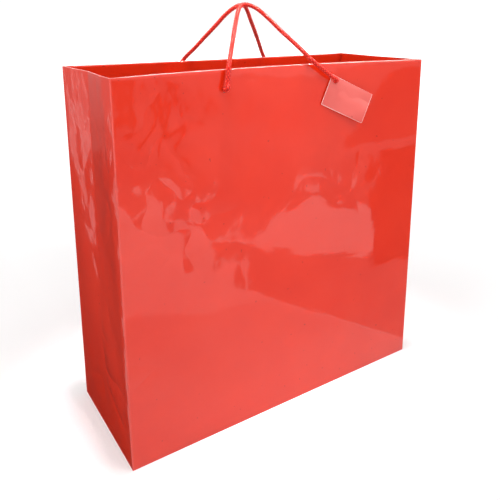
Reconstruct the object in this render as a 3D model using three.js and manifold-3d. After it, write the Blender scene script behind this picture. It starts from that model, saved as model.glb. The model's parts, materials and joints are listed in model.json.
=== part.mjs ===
// A large square gift bag of glossy laminated paper. It stands open on its own block bottom,
// with two braided cord handles knotted inside the rim and a card tag on the front handle.
// Millimetres, +Z up. The origin is the middle of the base, and the front faces -Y.

import * as THREE from 'three';
import { mergeVertices } from 'three/addons/utils/BufferGeometryUtils.js';
import Module from 'manifold-3d';

const wasm = await Module();
wasm.setup();

// The standing bag
const WIDTH = 500;
const HEIGHT = 500;
const DEPTH = 190;
const RIM_WIDTH = 488; // the paper leans in, so the mouth is a little smaller than the base
const RIM_DEPTH = 180;
const FRONT_BOW = 28; // how far the middle of the front's rim sags inwards
const BACK_BOW = 10;
const GUSSET_FOLD = 6; // how far each gusset's centre crease leans inwards at the rim

// Sheets
const PAPER = 0.4;
const LAYER_GAP = 0.3;
const RIM_BOARD = 1.0;
const BASE_BOARD = 1.5;
const HEM_HEIGHT = 50;
const LAP_WIDTH = 18;
const CORNER_GAP = 0.35;
const BOARD_RISE = 2; // the rim board's lower edge stands this far above the hem's
const RIM_INSET = 1; // what is folded inside the rim stops this far below its top
const COLUMN_STEP = 20; // spacing of the points that describe a bowed sheet
const ROW_STEP = 50;

// Layers of the rim, counted inwards from the wall's outer face
const BOARD_OFFSET = PAPER + LAYER_GAP;
const FACE_HEM_OFFSET = BOARD_OFFSET + RIM_BOARD + LAYER_GAP;
const SIDE_HEM_OFFSET = PAPER + LAYER_GAP;

// Handle cords and their holes
const CORD = 6;
const CORD_SIDES = 10;
const CORD_STEP = 12; // length of one straight stretch of a cord's solid
const BALL_RINGS = 6; // of the round end of a stretch of cord
const HOLE = 7;
const HOLE_X = 90;
const HOLE_Z = 475;
const DRILL_LENGTH = 24; // clear of every layer of the rim
const DRILL_SIDES = 20;
const CORD_GAP = 0.3;
const LEG_CLEARANCE = 0.9; // lets a leg lean and swing at the hole without meeting the cord there
const KNOT = 14; // the knot's diameter and its length along the hole
const KNOT_NECK = -60; // degrees, where the knot's round outline meets the cord
const KNOT_RINGS = 8;
const KNOT_TAIL = 22;
const KNOT_TAIL_LEAN = 70; // degrees that the tail points below the hole's axis

// The front handle leans to the left of the bag, and the back one stands nearly square.
// Both lean inwards from the rim until they meet above the middle.
const FRONT_STANDOFF = 7.3; // from the wall to the cord's middle, leaving room for the tag
const BACK_STANDOFF = 4.5;
const FRONT_LOOP = [
    [-85, -70, 503], [-73, -55.5, 519], [-61, -41, 534], [-47, -24.5, 552], [-33, -8.5, 568],
    [-23, 1.5, 575.5], [-15, 5, 578.3], [-6, 4, 577.3], [2.5, -2, 572.5], [12, -15.5, 560],
    [22.5, -32, 543], [36, -51.5, 523.5], [50, -70, 503],
];
const BACK_LOOP = [
    [-67, 86, 503], [-56, 72, 519], [-46, 58.5, 535], [-36, 44.5, 551], [-29, 32, 564],
    [-22, 22, 573], [-14.5, 17, 577.3], [-6.5, 17.5, 576.8], [3.5, 25, 570.5], [17, 37.5, 558.5],
    [32, 50, 544], [52, 67.5, 524], [73, 86, 503],
];

// The tag hangs on the right end of the front handle, against the wall
const TAG_WIDTH = 76;
const TAG_HEIGHT = 45;
const TAG_THICKNESS = 0.6;
const TAG_CORNER = 1.5;
const TAG_SEGMENTS = 8; // of its rounded corners and its hole, a quarter or a half turn each
const TAG_HOLE_FROM_SIDE = 9;
const TAG_HOLE_FROM_TOP = 6.5;
const TAG_STANDOFF = 3.2; // from the wall to the tag's middle, at its hole
const TAG_SLOPE = 25; // degrees that its long side runs down to the right
const TAG_NORMAL = new THREE.Vector3(-0.11, -1, 0.09).normalize();

// The block bottom
const BOTTOM_LAP = 40; // the front and back flaps overlap by this much
const BOTTOM_FLAP = (DEPTH + BOTTOM_LAP) / 2;
const SIDE_FLAP_MITRE = 12;
const WALL_CLEARANCE = 1; // between the flaps and the walls that they fold from
const BOARD_CLEARANCE = 5;
const BOARD_CORNER = 4;
const BOARD_SEGMENTS = 4;

const FRONT = -1;
const BACK = 1;
const LEFT = -1;
const RIGHT = 1;

const film = { roughness: 0.18, metalness: 0 };
const redFilm = { color: 0xd5281c, ...film };
const whitePaper = { color: 0xf2efe9, roughness: 0.85, metalness: 0 };
const greyBoard = { color: 0xb7b1a6, roughness: 0.95, metalness: 0 };
const redCord = { color: 0xd81f14, roughness: 0.55, metalness: 0 };

const bag = new THREE.Group();

function addPiece(name, geometry, look) {
    const piece = new THREE.Mesh(geometry, new THREE.MeshStandardMaterial(look));
    piece.name = name;
    bag.add(piece);
    return piece;
}

// ---- The shape of the walls

// The walls are square at the base, and lean and sag inwards more and more towards the rim.
function rise(z) {
    return z / HEIGHT;
}

function widthAt(z) {
    return WIDTH - (WIDTH - RIM_WIDTH) * rise(z);
}

function depthAt(z) {
    return DEPTH - (DEPTH - RIM_DEPTH) * rise(z);
}

// y of a point in the front or back wall, `offset` inwards from its outer face
function faceY(side, x, z, offset = 0) {
    const bow = side === FRONT ? FRONT_BOW : BACK_BOW;
    const arch = 1 - (2 * x / widthAt(z)) ** 2;
    return side * (depthAt(z) / 2 - bow * rise(z) * arch - offset);
}

// x of a point in a gusset, `offset` inwards from its outer face
function gussetX(side, y, z, offset = 0) {
    const fold = GUSSET_FOLD * rise(z) * (1 - Math.abs(2 * y / depthAt(z)));
    return side * (widthAt(z) / 2 - fold - offset);
}

// Both ends of a span, and every multiple of `step` between them
function stations(low, high, step) {
    const points = [low];
    for (let s = Math.ceil(low / step) * step; s < high; s += step) {
        if (s > low) points.push(s);
    }
    points.push(high);
    return points;
}

// A closed thin sheet. `near` and `far` give the points of its two faces.
function sheetGeometry(columns, rows, near, far) {
    const positions = [];
    for (const face of [near, far]) {
        for (const row of rows) {
            for (const column of columns) positions.push(...face(column, row));
        }
    }
    const across = columns.length;
    const upwards = rows.length;
    const farStart = across * upwards;
    const index = [];
    const quad = (a, b, c, d) => index.push(a, b, c, a, c, d);
    for (let r = 0; r < upwards - 1; r++) {
        for (let c = 0; c < across - 1; c++) {
            const a = r * across + c;
            const b = a + across;
            quad(a, a + 1, b + 1, b);
            index.push(farStart + a, farStart + b + 1, farStart + a + 1);
            index.push(farStart + a, farStart + b, farStart + b + 1);
        }
    }
    const edge = (a, b) => quad(b, a, farStart + a, farStart + b);
    for (let c = 0; c < across - 1; c++) {
        const top = (upwards - 1) * across + c;
        edge(c, c + 1);
        edge(top + 1, top);
    }
    for (let r = 0; r < upwards - 1; r++) {
        const low = r * across;
        edge(low + across, low);
        edge(low + across - 1, low + 2 * across - 1);
    }
    const geometry = new THREE.BufferGeometry();
    geometry.setAttribute('position', new THREE.Float32BufferAttribute(positions, 3));
    geometry.setIndex(index);
    return geometry;
}

// A sheet that follows the front or back wall, between two heights. Its reach across the wall
// is given at the base, and narrows upwards as the wall does.
function faceSheet(side, lowX, highX, lowZ, highZ, offset, thickness) {
    const columns = stations(lowX, highX, COLUMN_STEP);
    const rows = stations(lowZ, highZ, ROW_STEP);
    const point = (column, z, inwards) => {
        const x = column * widthAt(z) / WIDTH;
        return [x, faceY(side, x, z, inwards), z];
    };
    const outer = (column, z) => point(column, z, offset);
    const inner = (column, z) => point(column, z, offset + thickness);
    return side === FRONT
        ? sheetGeometry(columns, rows, outer, inner)
        : sheetGeometry(columns, rows, inner, outer);
}

// A sheet that follows a gusset, `reach` to each side of its centre crease
function gussetSheet(side, reach, lowZ, highZ, offset, thickness) {
    const columns = [-reach, 0, reach];
    const rows = stations(lowZ, highZ, ROW_STEP);
    const point = (column, z, inwards) => {
        const y = column * depthAt(z) / DEPTH;
        return [gussetX(side, y, z, inwards), y, z];
    };
    const outer = (column, z) => point(column, z, offset);
    const inner = (column, z) => point(column, z, offset + thickness);
    return side === RIGHT
        ? sheetGeometry(columns, rows, outer, inner)
        : sheetGeometry(columns, rows, inner, outer);
}

// ---- Cutting and joining

function toSolid(geometry) {
    const bare = geometry.clone();
    bare.deleteAttribute('normal');
    bare.deleteAttribute('uv');
    const welded = mergeVertices(bare, 1e-4);
    return new wasm.Manifold(new wasm.Mesh({
        numProp: 3,
        vertProperties: new Float32Array(welded.attributes.position.array),
        triVerts: new Uint32Array(welded.index.array),
    }));
}

function toGeometry(solid) {
    const mesh = solid.getMesh();
    const geometry = new THREE.BufferGeometry();
    geometry.setAttribute('position', new THREE.BufferAttribute(mesh.vertProperties, 3));
    geometry.setIndex(new THREE.BufferAttribute(mesh.triVerts, 1));
    return geometry;
}

function join(first, ...others) {
    const solid = others.reduce((sum, other) => sum.add(toSolid(other)), toSolid(first));
    return toGeometry(solid);
}

// Cuts the two cord holes through a layer of the front or back rim.
function cutCordHoles(geometry, side) {
    let solid = toSolid(geometry);
    for (const x of [-HOLE_X, HOLE_X]) {
        const drill = new THREE.CylinderGeometry(HOLE / 2, HOLE / 2, DRILL_LENGTH, DRILL_SIDES);
        drill.translate(x, faceY(side, x, HOLE_Z), HOLE_Z);
        solid = solid.subtract(toSolid(drill));
    }
    return toGeometry(solid);
}

// ---- Walls, rim and seams

const wallReach = DEPTH / 2 - PAPER - CORNER_GAP;
const hemReach = DEPTH / 2 - FACE_HEM_OFFSET - PAPER - WALL_CLEARANCE;
const faceHemReach = WIDTH / 2 - SIDE_HEM_OFFSET - PAPER - CORNER_GAP;
const boardReach = WIDTH / 2 - COLUMN_STEP;
const hemLow = HEIGHT - HEM_HEIGHT;
const layersTop = HEIGHT - RIM_INSET;

for (const [name, side] of [['front', FRONT], ['back', BACK]]) {
    const panel = faceSheet(side, -WIDTH / 2, WIDTH / 2, 0, HEIGHT, 0, PAPER);
    addPiece(`${name}_panel`, cutCordHoles(panel, side), redFilm);

    const board = faceSheet(
        side, -boardReach, boardReach, hemLow + BOARD_RISE, layersTop, BOARD_OFFSET, RIM_BOARD);
    addPiece(`${name}_rim_board`, cutCordHoles(board, side), greyBoard);

    const hem = faceSheet(
        side, -faceHemReach, faceHemReach, hemLow, HEIGHT, FACE_HEM_OFFSET, PAPER);
    addPiece(`${name}_hem`, cutCordHoles(hem, side), redFilm);
}

for (const [name, side] of [['left', LEFT], ['right', RIGHT]]) {
    const gusset = gussetSheet(side, wallReach, 0, HEIGHT, 0, PAPER);
    addPiece(`${name}_gusset`, gusset, redFilm);

    const hem = gussetSheet(side, hemReach, hemLow, HEIGHT, SIDE_HEM_OFFSET, PAPER);
    addPiece(`${name}_hem`, hem, redFilm);
}

// The bag is two half sheets, each a face and a gusset. A lap at the end of each half is glued
// inside the other's face, at the front right and the back left corners.
const layerStep = PAPER + LAYER_GAP;
const flapLayers = 3 * layerStep;
const lapLow = flapLayers + LAYER_GAP;
const lapOuter = faceHemReach;
const lapInner = lapOuter - LAP_WIDTH;
const frontLap = faceSheet(FRONT, lapInner, lapOuter, lapLow, layersTop, BOARD_OFFSET, PAPER);
addPiece('front_seam_lap', frontLap, whitePaper);
const backLap = faceSheet(BACK, -lapOuter, -lapInner, lapLow, layersTop, BOARD_OFFSET, PAPER);
addPiece('back_seam_lap', backLap, whitePaper);

// ---- Block bottom

// A flat plate on the base, drawn from above
function plateGeometry(outline, bottom, thickness) {
    const shape = new THREE.Shape(outline.map(([x, y]) => new THREE.Vector2(x, y)));
    const plate = new THREE.ExtrudeGeometry(shape, { depth: thickness, bevelEnabled: false });
    plate.translate(0, 0, bottom);
    return plate;
}

function rectangle(lowX, lowY, highX, highY) {
    return [[lowX, lowY], [highX, lowY], [highX, highY], [lowX, highY]];
}

function roundedRectangle(width, height, corner) {
    const shape = new THREE.Shape();
    const right = width / 2 - corner;
    const top = height / 2 - corner;
    shape.absarc(right, -top, corner, -Math.PI / 2, 0);
    shape.absarc(right, top, corner, 0, Math.PI / 2);
    shape.absarc(-right, top, corner, Math.PI / 2, Math.PI);
    shape.absarc(-right, -top, corner, Math.PI, 3 * Math.PI / 2);
    return shape;
}

const flapX = WIDTH / 2 - PAPER - WALL_CLEARANCE;
const flapY = DEPTH / 2 - PAPER - WALL_CLEARANCE;
const flapEdge = BOTTOM_FLAP - DEPTH / 2;

const frontFlap = rectangle(-flapX, -flapY, flapX, flapEdge);
addPiece('bottom_front_flap', plateGeometry(frontFlap, 0, PAPER), redFilm);
const backFlap = rectangle(-flapX, -flapEdge, flapX, flapY);
addPiece('bottom_back_flap', plateGeometry(backFlap, layerStep, PAPER), redFilm);

for (const [name, side] of [['left', LEFT], ['right', RIGHT]]) {
    const tip = WIDTH / 2 - BOTTOM_FLAP;
    const outline = [
        [side * flapX, -flapY],
        [side * flapX, flapY],
        [side * tip, flapY - SIDE_FLAP_MITRE],
        [side * tip, SIDE_FLAP_MITRE - flapY],
    ];
    addPiece(`bottom_${name}_flap`, plateGeometry(outline, 2 * layerStep, PAPER), redFilm);
}

// The stiffening board lies loose on the flaps.
const boardShape = roundedRectangle(
    WIDTH - 2 * BOARD_CLEARANCE, DEPTH - 2 * BOARD_CLEARANCE, BOARD_CORNER);
const baseBoard = new THREE.ExtrudeGeometry(
    boardShape, { depth: BASE_BOARD, bevelEnabled: false, curveSegments: BOARD_SEGMENTS });
baseBoard.translate(0, 0, flapLayers + LAYER_GAP);
addPiece('base_board', baseBoard, greyBoard);

// ---- Handles

class RoutePath extends THREE.CatmullRomCurve3 {
    constructor(points) {
        super(points.map((point) => new THREE.Vector3(...point)), false, 'centripetal');
    }
}

function ballGeometry(centre) {
    const ball = new THREE.SphereGeometry(CORD / 2, CORD_SIDES, BALL_RINGS);
    ball.translate(...centre);
    return ball;
}

function tubeGeometry(path) {
    const section = new THREE.Shape();
    section.absarc(0, 0, CORD / 2, 0, 2 * Math.PI);
    const steps = Math.max(1, Math.round(path.getLength() / CORD_STEP));
    return new THREE.ExtrudeGeometry(
        section, { steps, curveSegments: CORD_SIDES / 2, bevelEnabled: false, extrudePath: path });
}

// The knot behind the rim, with the short stretch of cord that fills the hole
function knotGeometry(side, x, standoff) {
    const inside = FACE_HEM_OFFSET + PAPER + CORD_GAP;
    const outside = -(standoff - CORD / 2 - LEG_CLEARANCE);
    const neck = THREE.MathUtils.degToRad(KNOT_NECK);
    const bulb = new THREE.EllipseCurve(
        0, inside + KNOT / 2, KNOT / 2, KNOT / 2, neck, Math.PI / 2);
    const profile = [
        new THREE.Vector2(0, outside),
        new THREE.Vector2(CORD / 2, outside),
        new THREE.Vector2(CORD / 2, inside),
        ...bulb.getPoints(KNOT_RINGS),
    ];
    profile[profile.length - 1].x = 0;
    const knot = new THREE.LatheGeometry(profile, CORD_SIDES);
    const tail = new THREE.CylinderGeometry(CORD / 2, CORD / 2, KNOT_TAIL, CORD_SIDES);
    tail.translate(0, KNOT_TAIL / 2, 0);
    tail.rotateX(-THREE.MathUtils.degToRad(KNOT_TAIL_LEAN));
    tail.translate(0, inside + KNOT / 2, 0);
    const whole = join(knot, tail);
    if (side === BACK) whole.rotateZ(Math.PI);
    return whole;
}

function addHandle(name, side, standoff, loopPoints) {
    const pivotY = faceY(side, HOLE_X, HOLE_Z) + side * standoff;
    const ends = [
        ['left', -HOLE_X, loopPoints[0]],
        ['right', HOLE_X, loopPoints[loopPoints.length - 1]],
    ];
    for (const [end, x, rimPoint] of ends) {
        addPiece(`${name}_${end}_knot`, knotGeometry(side, x, standoff), redCord)
            .position.set(x, faceY(side, x, HOLE_Z), HOLE_Z);

        const pivot = new THREE.Vector3(x, pivotY, HOLE_Z);
        const rim = new THREE.Vector3(...rimPoint);
        const stop = rim.clone().lerp(pivot, (CORD / 2 + CORD_GAP) / rim.distanceTo(pivot));
        const leg = join(tubeGeometry(new THREE.LineCurve3(pivot, stop)), ballGeometry(pivot));
        addPiece(`${name}_handle_${end}_leg`, leg, redCord);
    }
    const loop = join(
        tubeGeometry(new RoutePath(loopPoints)),
        ballGeometry(loopPoints[0]),
        ballGeometry(loopPoints[loopPoints.length - 1]));
    addPiece(`${name}_handle_loop`, loop, redCord);
}

addHandle('front', FRONT, FRONT_STANDOFF, FRONT_LOOP);
addHandle('back', BACK, BACK_STANDOFF, BACK_LOOP);

// ---- Tag

const tagShape = roundedRectangle(TAG_WIDTH, TAG_HEIGHT, TAG_CORNER);
const tagHole = new THREE.Path();
const tagHoleX = TAG_HOLE_FROM_SIDE - TAG_WIDTH / 2;
const tagHoleY = TAG_HEIGHT / 2 - TAG_HOLE_FROM_TOP;
tagHole.absarc(tagHoleX, tagHoleY, HOLE / 2, 0, 2 * Math.PI, true);
tagShape.holes.push(tagHole);
const tagSheet = new THREE.ExtrudeGeometry(
    tagShape, { depth: TAG_THICKNESS, bevelEnabled: false, curveSegments: TAG_SEGMENTS });
tagSheet.translate(-tagHoleX, -tagHoleY, -TAG_THICKNESS / 2);
tagSheet.rotateZ(-THREE.MathUtils.degToRad(TAG_SLOPE));

const tagRight = new THREE.Vector3(0, 0, 1).cross(TAG_NORMAL).normalize();
const tagUp = TAG_NORMAL.clone().cross(tagRight);
const tag = addPiece('gift_tag', tagSheet, redFilm);
tag.quaternion.setFromRotationMatrix(
    new THREE.Matrix4().makeBasis(tagRight, tagUp, TAG_NORMAL));
tag.position.set(HOLE_X, faceY(FRONT, HOLE_X, HOLE_Z) - TAG_STANDOFF, HOLE_Z);

export default bag;
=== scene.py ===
"""The looks of a large glossy red gift bag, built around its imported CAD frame. Metres, +Z up.

The front of the bag faces -Y. A side is -1 at the front and 1 at the back.
"""

import json
import math

import bpy
import numpy as np
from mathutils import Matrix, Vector


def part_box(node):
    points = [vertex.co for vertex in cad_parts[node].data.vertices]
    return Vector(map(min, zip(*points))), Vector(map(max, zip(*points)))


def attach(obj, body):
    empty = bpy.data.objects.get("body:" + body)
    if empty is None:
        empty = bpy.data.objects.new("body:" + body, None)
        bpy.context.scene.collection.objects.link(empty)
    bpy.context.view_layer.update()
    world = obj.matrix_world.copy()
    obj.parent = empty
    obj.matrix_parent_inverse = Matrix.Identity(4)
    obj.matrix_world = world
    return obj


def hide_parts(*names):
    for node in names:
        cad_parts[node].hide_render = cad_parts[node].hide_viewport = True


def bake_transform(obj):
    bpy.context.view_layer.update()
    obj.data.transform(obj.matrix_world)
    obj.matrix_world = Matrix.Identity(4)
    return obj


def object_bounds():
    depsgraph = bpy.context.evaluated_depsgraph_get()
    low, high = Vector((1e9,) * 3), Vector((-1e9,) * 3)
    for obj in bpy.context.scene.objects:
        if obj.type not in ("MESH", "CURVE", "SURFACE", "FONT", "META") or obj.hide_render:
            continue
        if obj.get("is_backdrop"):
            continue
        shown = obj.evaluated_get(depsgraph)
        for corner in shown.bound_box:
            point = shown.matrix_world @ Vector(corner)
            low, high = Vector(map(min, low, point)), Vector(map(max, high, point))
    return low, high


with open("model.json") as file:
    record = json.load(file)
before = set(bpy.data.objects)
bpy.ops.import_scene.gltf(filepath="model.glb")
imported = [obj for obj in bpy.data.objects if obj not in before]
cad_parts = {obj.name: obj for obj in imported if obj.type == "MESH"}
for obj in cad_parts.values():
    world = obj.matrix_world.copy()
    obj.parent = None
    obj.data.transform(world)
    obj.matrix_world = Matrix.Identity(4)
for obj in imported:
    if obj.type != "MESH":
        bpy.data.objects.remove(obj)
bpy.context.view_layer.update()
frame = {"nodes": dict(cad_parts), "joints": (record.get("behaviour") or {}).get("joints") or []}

MM = 0.001
TAU = 2 * math.pi
JOINTS = {joint["name"]: joint for joint in frame["joints"]}

# ---- Sizes, from the frame


def top_points(node):
    """How far a node's points at the rim are from each axis plane"""
    points = np.array([v.co for v in frame["nodes"][node].data.vertices])
    return np.abs(points[points[:, 2] > points[:, 2].max() - MM])


PAPER = 0.4 * MM  # thickness
WIDTH = 2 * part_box("front_panel")[1].x
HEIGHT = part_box("front_panel")[1].z
DEPTH = 2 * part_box("back_panel")[1].y
RIM_WIDTH = 2 * top_points("front_panel")[:, 0].max()
RIM_DEPTH = 2 * top_points("front_panel")[:, 1].max()
FRONT_BOW = RIM_DEPTH / 2 - PAPER - top_points("front_panel")[:, 1].min()
BACK_BOW = RIM_DEPTH / 2 - PAPER - top_points("back_panel")[:, 1].min()
GUSSET_FOLD = RIM_WIDTH / 2 - PAPER - top_points("right_gusset")[:, 0].min()
HEM_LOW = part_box("front_hem")[0].z
HOLE = 7 * MM  # punched through the rim for a cord
HOLE_X, _, HOLE_Z = JOINTS["tag_swing"]["pos_m"]
CORNER = 1.1 * MM  # how far from a vertical fold the paper starts to turn
SOFT_CREASE = 5 * MM  # half the width over which a gusset's centre crease turns
FACE_RIM = 2.4 * MM  # thickness of the rim where it holds a board
SIDE_RIM = 1.1 * MM  # and where it is two layers of paper


# ---- Camera, set from the front left, a little above the rim

CAMERA_AZIMUTH = -33.2
CAMERA_ELEVATION = 15.9
CAMERA_DISTANCE = 0.8313
CAMERA_TARGET = Vector((-0.008, 0.0, 0.3359))
LENS = 40.3
CAMERA_SHIFT = -0.15


def make_camera():
    camera = bpy.data.objects.new("camera", bpy.data.cameras.new("camera"))
    bpy.context.scene.collection.objects.link(camera)
    azimuth, elevation = math.radians(CAMERA_AZIMUTH), math.radians(CAMERA_ELEVATION)
    back = Vector((
        math.sin(azimuth) * math.cos(elevation),
        -math.cos(azimuth) * math.cos(elevation),
        math.sin(elevation),
    ))
    camera.location = CAMERA_TARGET + back * CAMERA_DISTANCE
    camera.rotation_euler = (-back).to_track_quat("-Z", "Y").to_euler()
    camera.data.sensor_width = 36
    camera.data.lens = LENS
    camera.data.shift_y = CAMERA_SHIFT
    bpy.context.scene.camera = camera


make_camera()


# ---- Materials


class Nodes:
    """A material's node tree, with short calls for adding and joining nodes"""

    def __init__(self, name):
        self.material = bpy.data.materials.new(name)
        self.material.use_nodes = True
        self.tree = self.material.node_tree
        self.shader = self.tree.nodes["Principled BSDF"]

    def add(self, kind, **settings):
        node = self.tree.nodes.new("ShaderNode" + kind)
        for key, value in settings.items():
            setattr(node, key, value)
        return node

    def join(self, source, target):
        self.tree.links.new(source, target)

    def feed(self, socket, value):
        """Joins a socket to another node's output, or gives it a constant"""
        if isinstance(value, bpy.types.NodeSocket):
            self.join(value, socket)
        else:
            socket.default_value = (*value, 1) if isinstance(value, tuple) else value

    def noise(self, vector, scale, detail=3.0, roughness=0.5):
        node = self.add("TexNoise")
        node.inputs["Scale"].default_value = scale
        node.inputs["Detail"].default_value = detail
        node.inputs["Roughness"].default_value = roughness
        self.join(vector, node.inputs["Vector"])
        return node.outputs["Fac"]

    def ramp(self, value, stops):
        node = self.add("ValToRGB")
        elements = node.color_ramp.elements
        while len(elements) < len(stops):
            elements.new(0.5)
        for element, (position, colour) in zip(elements, stops):
            element.position = position
            element.color = (*colour, 1)
        self.join(value, node.inputs["Fac"])
        return node.outputs["Color"]

    def mix(self, factor, first, second):
        node = self.add("Mix", data_type="RGBA")
        for socket, value in ((0, factor), (6, first), (7, second)):
            self.feed(node.inputs[socket], value)
        return node.outputs[2]

    def maths(self, operation, first, second=0.0):
        node = self.add("Math", operation=operation)
        for socket, value in zip(node.inputs, (first, second)):
            self.feed(socket, value)
        return node.outputs[0]

    def scaled(self, low, high, value):
        """value, from 0 to 1, spread over low to high"""
        node = self.add("MapRange")
        node.inputs["To Min"].default_value = low
        node.inputs["To Max"].default_value = high
        self.join(value, node.inputs["Value"])
        return node.outputs["Result"]

    def bump(self, height, distance, strength, after=None):
        """A bump of the height times distance, in metres, on top of the one before it"""
        node = self.add("Bump")
        node.inputs["Strength"].default_value = strength
        node.inputs["Distance"].default_value = distance
        self.join(height, node.inputs["Height"])
        if after is not None:
            self.join(after, node.inputs["Normal"])
        return node.outputs["Normal"]

    def set(self, name, value):
        """A constant on the shader's own socket"""
        self.shader.inputs[name].default_value = value

    def attribute(self, name):
        return self.add("Attribute", attribute_name=name).outputs["Fac"]

    def place(self, stretch=(1, 1, 1)):
        """Points in the object's own metres, stretched along each axis"""
        mapping = self.add("Mapping")
        mapping.inputs["Scale"].default_value = stretch
        self.join(self.add("TexCoord").outputs["Object"], mapping.inputs["Vector"])
        return mapping.outputs["Vector"]


def make_film(name, colour, deep, pale):
    """Paper printed in one colour under a glossy film: faint mottling, pale worn folds with a
    painted highlight along the rim's crown, dust scuffs
    """
    n = Nodes(name)
    where = n.place()
    mottle = n.ramp(n.noise(where, 14, 4), [(0.3, deep), (0.7, colour)])
    fibre = n.noise(where, 900, 2)
    patchy = n.scaled(0.55, 1.0, n.noise(where, 60, 4, 0.7))
    # Towards the pale colour by the fold attribute: worn folds, and on the rim's crown a painted
    # highlight too
    wear_and_sheen = n.mix(n.maths("MULTIPLY", n.attribute("fold"), patchy), mottle, pale)
    specks = n.ramp(n.noise(where, 210, 0), [(0.845, (0, 0, 0)), (0.86, (1, 1, 1))])
    n.join(n.mix(n.maths("MULTIPLY", specks, 0.5), wear_and_sheen, tuple(0.4 * c for c in deep)),
           n.shader.inputs["Base Color"])
    smears = n.noise(n.place((1, 1, 0.35)), 22, 5, 0.6)
    n.join(n.scaled(0.30, 0.44, smears), n.shader.inputs["Roughness"])
    n.set("Specular IOR Level", 0.06)
    n.set("Coat Weight", 1.0)
    n.set("Coat Roughness", 0.05)
    n.set("Coat IOR", 1.6)
    ripple = n.bump(n.noise(where, 30, 2, 0.5), 0.0012, 0.25)
    ridges = n.maths("ABSOLUTE", n.maths("SUBTRACT", n.noise(where, 17, 1, 0.4), 0.5))
    crinkles = n.bump(n.maths("MULTIPLY", ridges, n.attribute("crumple")), 0.007, 1.0, ripple)
    pebble = n.bump(n.noise(where, 240, 2, 0.5), 0.00010, 0.2, crinkles)
    n.join(n.bump(fibre, 0.00002, 0.5, pebble), n.shader.inputs["Normal"])
    n.join(pebble, n.shader.inputs["Coat Normal"])
    return n.material


def make_paper(name, colour, shade, speck=0.0):
    """Bare paper or board: fibres, faint clouding and, on board, specks"""
    n = Nodes(name)
    where = n.place()
    cloud = n.ramp(n.noise(where, 30, 5), [(0.3, shade), (0.7, colour)])
    fibres = n.noise(n.place((1, 1, 3)), 700, 4, 0.7)
    specks = n.ramp(n.noise(where, 1400, 1), [(0.66, (0, 0, 0)), (0.72, (1, 1, 1))])
    dark = tuple(0.45 * c for c in shade)
    speckled = n.mix(n.maths("MULTIPLY", specks, speck), cloud, dark)
    n.join(speckled, n.shader.inputs["Base Color"])
    n.join(n.scaled(0.72, 0.9, fibres), n.shader.inputs["Roughness"])
    n.set("Specular IOR Level", 0.3)
    n.join(n.bump(fibres, 0.00006, 0.6), n.shader.inputs["Normal"])
    return n.material


def make_cord_material(name, lit, colour, deep):
    """Braided yarn: fine filaments along each strand, a painted highlight on its crown and
    painted shade in the grooves
    """
    n = Nodes(name)
    uv = n.add("UVMap", uv_map="strand").outputs["UV"]
    stretch = n.add("Mapping")
    stretch.inputs["Scale"].default_value = (1.2, 9, 1)
    n.join(uv, stretch.inputs["Vector"])
    filaments = n.noise(stretch.outputs["Vector"], 1.6, 4, 0.6)
    # Painted light: the pale colour on strand crowns, the dark colour in grooves and on the core
    yarn = n.ramp(n.attribute("painted_groove_shade"),
                  [(0.03, lit), (0.20, colour), (0.38, colour), (0.75, deep)])
    streaks = n.ramp(filaments, [(0.25, deep), (0.6, colour)])
    n.join(n.mix(0.3, yarn, streaks), n.shader.inputs["Base Color"])
    n.join(n.scaled(0.28, 0.45, filaments), n.shader.inputs["Roughness"])
    n.set("Specular IOR Level", 0.25)
    n.set("Sheen Weight", 0.03)
    n.set("Sheen Roughness", 0.4)
    n.join(n.bump(filaments, 0.00012, 0.8), n.shader.inputs["Normal"])
    return n.material


# The red film's last colour is the pale of worn folds and of the painted highlight along the
# rim's crown
RED_FILM = make_film("red_film", (0.71, 0.026, 0.005), (0.68, 0.021, 0.0035), (0.95, 0.66, 0.62))
# The tag's film is a lighter, pinker copy of the red film: a painted reflection of the bright
# floor
TAG_FILM = make_film("tag_film", (0.74, 0.13, 0.11), (0.71, 0.10, 0.085), (0.95, 0.80, 0.78))
WHITE_PAPER = make_paper("white_paper", (0.86, 0.84, 0.80), (0.80, 0.78, 0.74))
CUT_EDGE = make_paper("cut_edge", (0.90, 0.84, 0.80), (0.84, 0.72, 0.68))
GREY_BOARD = make_paper("grey_board", (0.50, 0.47, 0.42), (0.43, 0.40, 0.36), 0.6)
SHEET_LOOK = [RED_FILM, WHITE_PAPER, CUT_EDGE]  # of the outside, the inside and the cut edges
# Cord colours: a painted highlight for strand crowns, the yarn's red, and painted shade for
# grooves and core
CORD_YARN = make_cord_material("cord_yarn", (0.98, 0.27, 0.19), (0.74, 0.012, 0.004),
                               (0.20, 0.003, 0.002))


# ---- Meshes


def make_piece(name, points, faces, materials, face_material=None, smooth=True):
    mesh = bpy.data.meshes.new(name)
    mesh.from_pydata([tuple(p) for p in points], [], faces)
    for material in materials:
        mesh.materials.append(material)
    if face_material is not None:
        mesh.polygons.foreach_set("material_index", np.asarray(face_material, np.int32))
    mesh.polygons.foreach_set("use_smooth", np.full(len(mesh.polygons), smooth))
    mesh.update()
    piece = bpy.data.objects.new(name, mesh)
    bpy.context.scene.collection.objects.link(piece)
    return piece


def band_faces(rings, count, closed=False, first=0):
    """The faces between rings of points. If closed, the last ring joins the first"""
    faces = []
    for r in range(rings if closed else rings - 1):
        here, following = first + r * count, first + (r + 1) % rings * count
        for k in range(count):
            j = (k + 1) % count
            faces.append((here + k, here + j, following + j, following + k))
    return faces


def point_attribute(piece, name, values):
    attribute = piece.data.attributes.new(name, "FLOAT", "POINT")
    attribute.data.foreach_set("value", np.asarray(values, np.float32))


def sharpen(piece, degrees):
    piece.data.set_sharp_from_angle(angle=math.radians(degrees))


def unit(rows):
    return rows / np.linalg.norm(rows, axis=1)[:, None]


def smoothstep(low, high, value):
    t = np.clip((value - low) / (high - low), 0, 1)
    return t * t * (3 - 2 * t)


# ---- Handle cords

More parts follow.
